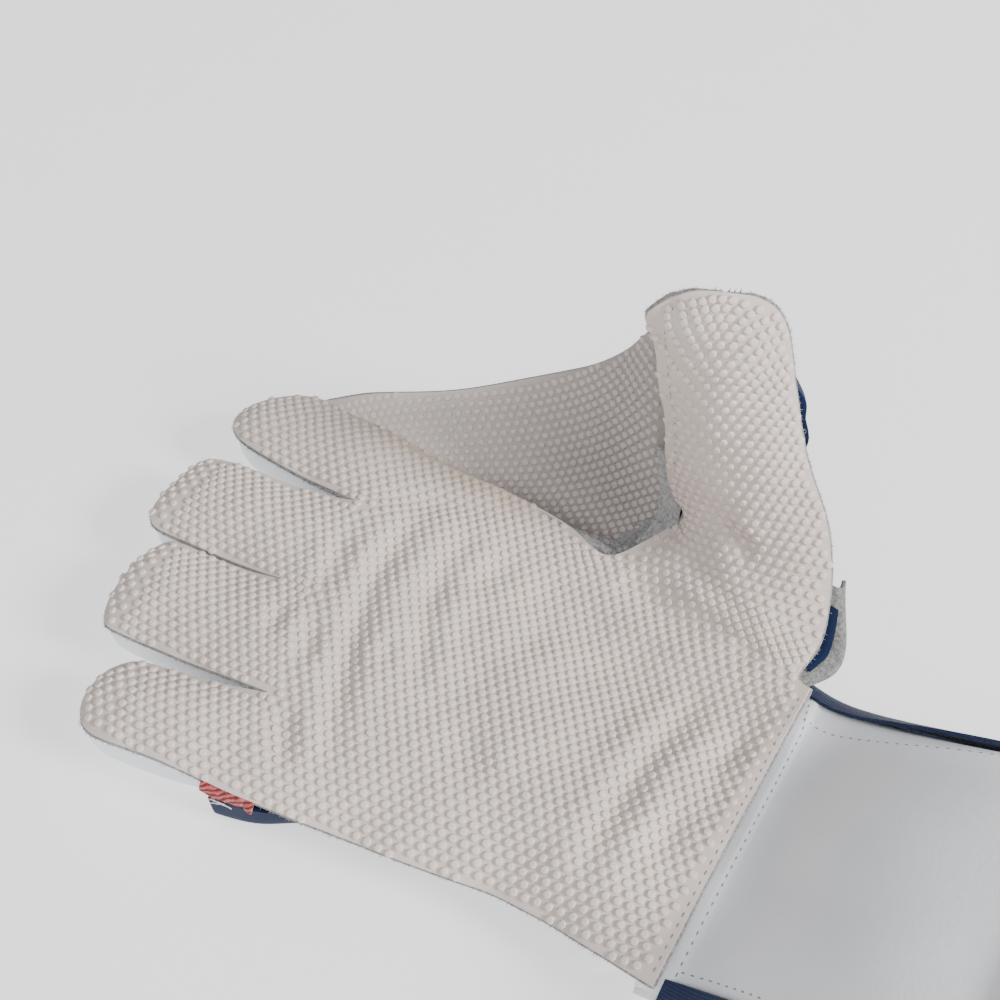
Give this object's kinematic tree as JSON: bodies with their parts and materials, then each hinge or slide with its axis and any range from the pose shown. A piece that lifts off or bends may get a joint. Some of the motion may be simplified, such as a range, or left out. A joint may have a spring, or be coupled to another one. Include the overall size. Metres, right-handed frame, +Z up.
{
  "type": "wicketkeeping glove",
  "caption": "Right-hand wicketkeeping glove with a pimpled rubber palm, a webbed upright thumb, navy back and white gauntlet cuff, lying palm up.",
  "frame": {"origin": "centre of the bounding box on the surface that the glove rests on", "axes": "+Y from the cuff towards the fingertips, +X towards the thumb, +Z up out of the palm"},
  "size_m": [0.2022, 0.3304, 0.1374],
  "materials": {
    "pimpled_rubber": "matte, pinkish cream, small round pimples",
    "web_rubber": "matte, greyer than the palm, small round pimples",
    "white_leather": "satin, bluish white",
    "navy_leather": "satin, quilted on the thumb",
    "navy_tape": "woven binding tape",
    "coral_trim": "ribbed band",
    "grey_suede": "matte suede"
  },
  "bodies": {
    "root": {"palm_facing": "pimpled_rubber", "web": "web_rubber", "crotch_patch": "grey_suede", "wrist_gusset": "grey_suede", "index_back": "white_leather", "middle_back": "white_leather", "ring_back": "white_leather", "little_back": "white_leather", "hand_back": "navy_leather", "thumb_back": "navy_leather", "knuckle_trim": "coral_trim", "cuff_palm": "white_leather", "cuff_back": "white_leather", "cuff_binding_little": "navy_tape", "cuff_binding_thumb": "navy_tape", "cuff_mouth_binding": "navy_tape"}
  },
  "joints": []
}
